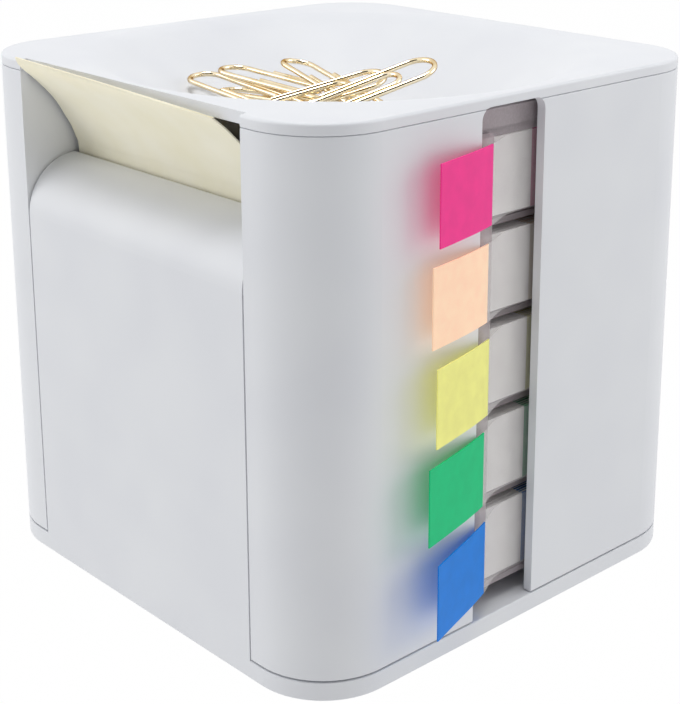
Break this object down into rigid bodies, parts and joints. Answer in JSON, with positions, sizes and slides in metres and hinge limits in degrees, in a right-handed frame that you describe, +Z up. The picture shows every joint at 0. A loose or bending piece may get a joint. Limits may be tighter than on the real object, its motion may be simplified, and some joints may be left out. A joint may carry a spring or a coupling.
{
  "type": "memo cube with clip dish",
  "caption": "Desk cube with a memo drawer at the front, a slot of colour index flags at the side and a magnetic clip dish on top.",
  "frame": {"origin": "middle of the underside of the anti-slip mat, on the surface that the cube stands on", "axes": "+Z up, -Y out of the drawer front, +X out of the side with the flag slot"},
  "size_m": [0.0943, 0.0916, 0.0911],
  "materials": {
    "grey_abs": "moulded ABS, satin",
    "magnet_nickel": "nickel plated",
    "mat_foam": "fine foamed sheet",
    "memo_paper": "uncoated cream paper",
    "frosted_plastic": "frosted translucent polypropylene",
    "film_blue": "printed translucent film",
    "film_green": "printed translucent film",
    "film_yellow": "printed translucent film",
    "film_peach": "printed translucent film",
    "film_pink": "printed translucent film",
    "gilt_wire": "gold coloured plating on steel wire"
  },
  "bodies": {
    "housing": {"housing_shell": "grey_abs", "flag_cartridge": "frosted_plastic", "cartridge_back": "frosted_plastic", "flag_stack_blue": "film_blue", "flag_stack_green": "film_green", "flag_stack_yellow": "film_yellow", "flag_stack_peach": "film_peach", "flag_stack_pink": "film_pink", "flag_blue": "film_blue", "flag_green": "film_green", "flag_yellow": "film_yellow", "flag_peach": "film_peach", "flag_pink": "film_pink"},
    "drawer": {"drawer_tray": "grey_abs", "anti_slip_mat": "mat_foam", "memo_pad": "memo_paper", "memo_slip": "memo_paper"},
    "lid": {"dish_lid": "grey_abs", "dish_magnet": "magnet_nickel", "paper_clip_1": "gilt_wire", "paper_clip_2": "gilt_wire", "paper_clip_3": "gilt_wire", "paper_clip_4": "gilt_wire", "paper_clip_5": "gilt_wire", "paper_clip_6": "gilt_wire", "paper_clip_7": "gilt_wire", "paper_clip_8": "gilt_wire", "paper_clip_9": "gilt_wire"}
  },
  "joints": [
    {"name": "drawer_slide", "type": "slide", "parent": "housing", "child": "drawer", "axis": [0, -1, 0], "range_m": [0, 0.07]},
    {"name": "lid_lift", "type": "slide", "parent": "housing", "child": "lid", "axis": [0, 0, 1], "range_m": [0, 0.03]}
  ]
}
